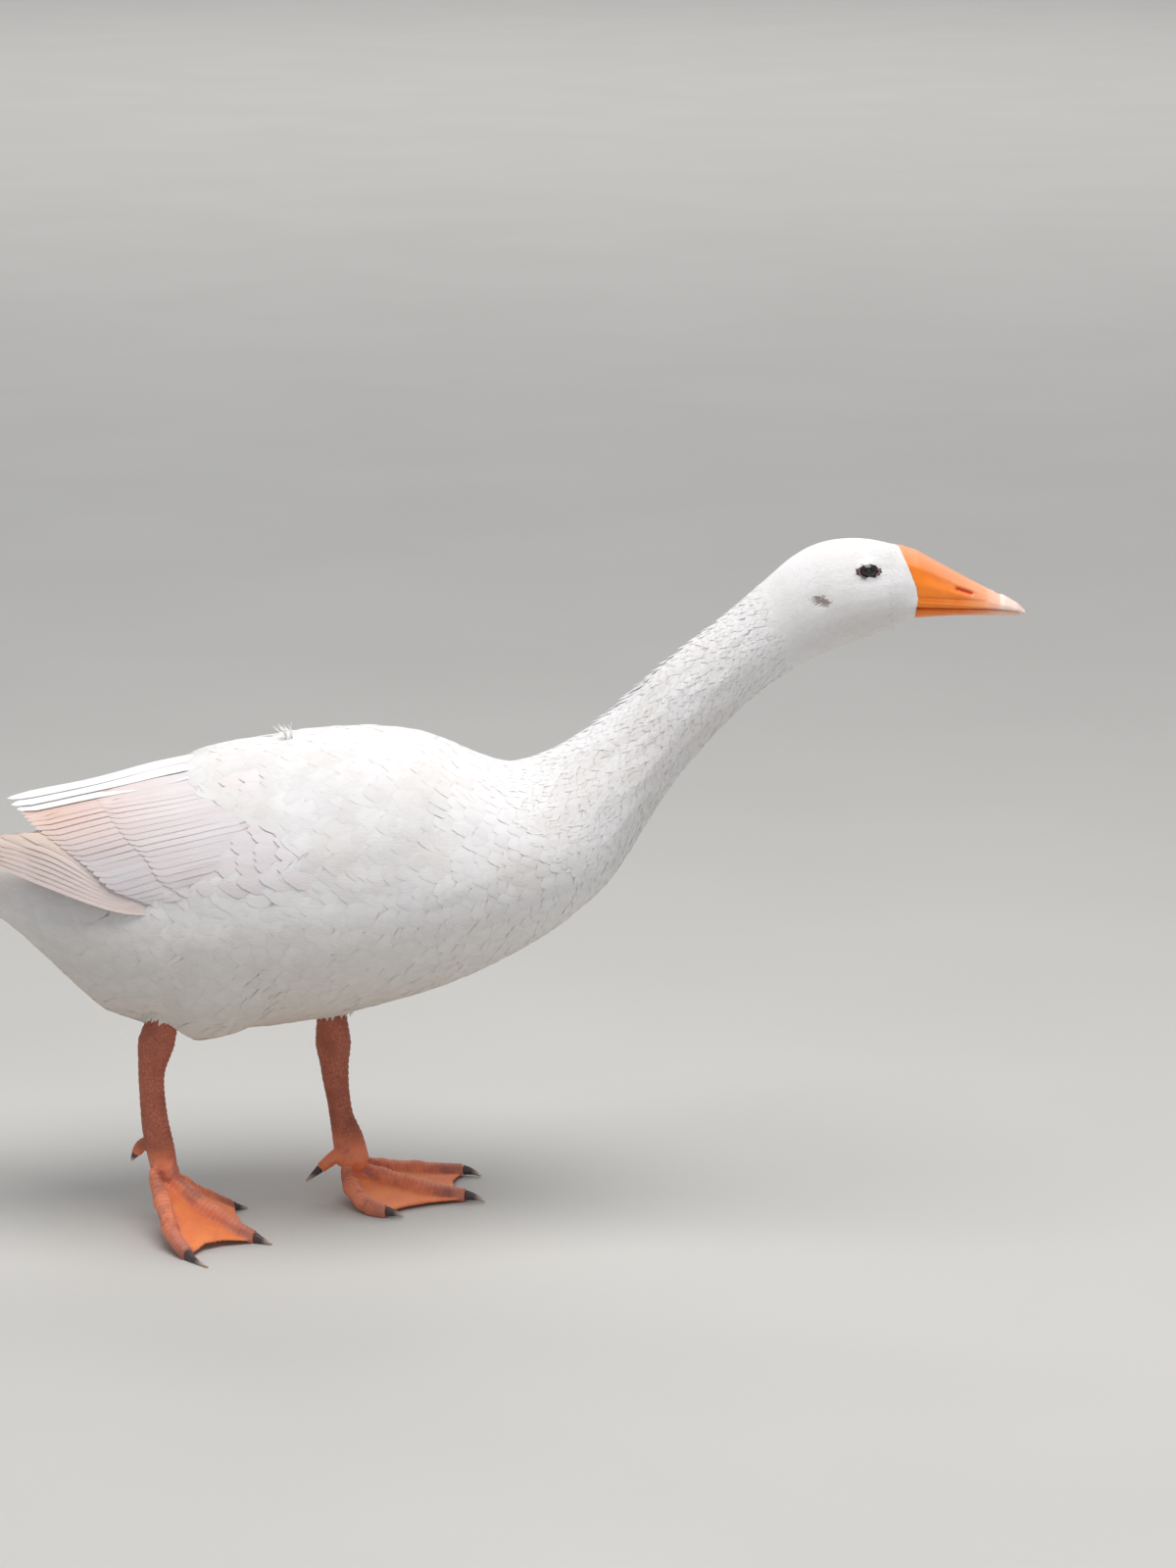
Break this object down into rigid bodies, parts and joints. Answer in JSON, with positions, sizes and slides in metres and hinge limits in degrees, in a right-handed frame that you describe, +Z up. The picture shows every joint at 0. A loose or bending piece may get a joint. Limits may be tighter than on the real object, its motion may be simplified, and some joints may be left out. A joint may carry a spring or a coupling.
{
  "type": "domestic goose, life-size still model",
  "caption": "Life-size white domestic goose in a walking pose, neck stretched forward and up, wings folded, webbed feet on the floor.",
  "frame": {"origin": "on the floor under the middle of the box round the whole goose", "axes": "+X forward along the goose towards the bill's tip, +Y to the goose's left, +Z up from the floor"},
  "size_m": [0.7309, 0.2205, 0.4524],
  "materials": {
    "plumage": "soft matt white feathers",
    "flight_feathers": "cream flight feathers, faint sheen",
    "leg_skin": "scaled brick-red skin",
    "foot_skin": "scaled orange skin",
    "claw": "horn, cream to dark",
    "bill": "smooth orange, satin",
    "eye": "wet, dark"
  },
  "bodies": {
    "root": {"head": "plumage", "neck_upper": "plumage", "neck_lower": "plumage", "trunk": "plumage", "tail": "plumage", "wing_right": "plumage", "wing_left": "plumage", "primaries_right": "flight_feathers", "primaries_left": "flight_feathers", "thigh_right": "plumage", "thigh_left": "plumage", "shank_right": "leg_skin", "shank_left": "leg_skin", "foot_right": "foot_skin", "foot_left": "foot_skin", "hind_toe_right": "foot_skin", "hind_toe_left": "foot_skin", "claw_inner_right": "claw", "claw_middle_right": "claw", "claw_outer_right": "claw", "claw_hind_right": "claw", "claw_inner_left": "claw", "claw_middle_left": "claw", "claw_outer_left": "claw", "claw_hind_left": "claw", "bill_upper": "bill", "bill_lower": "bill", "eye_right": "eye", "eye_left": "eye"}
  },
  "joints": []
}
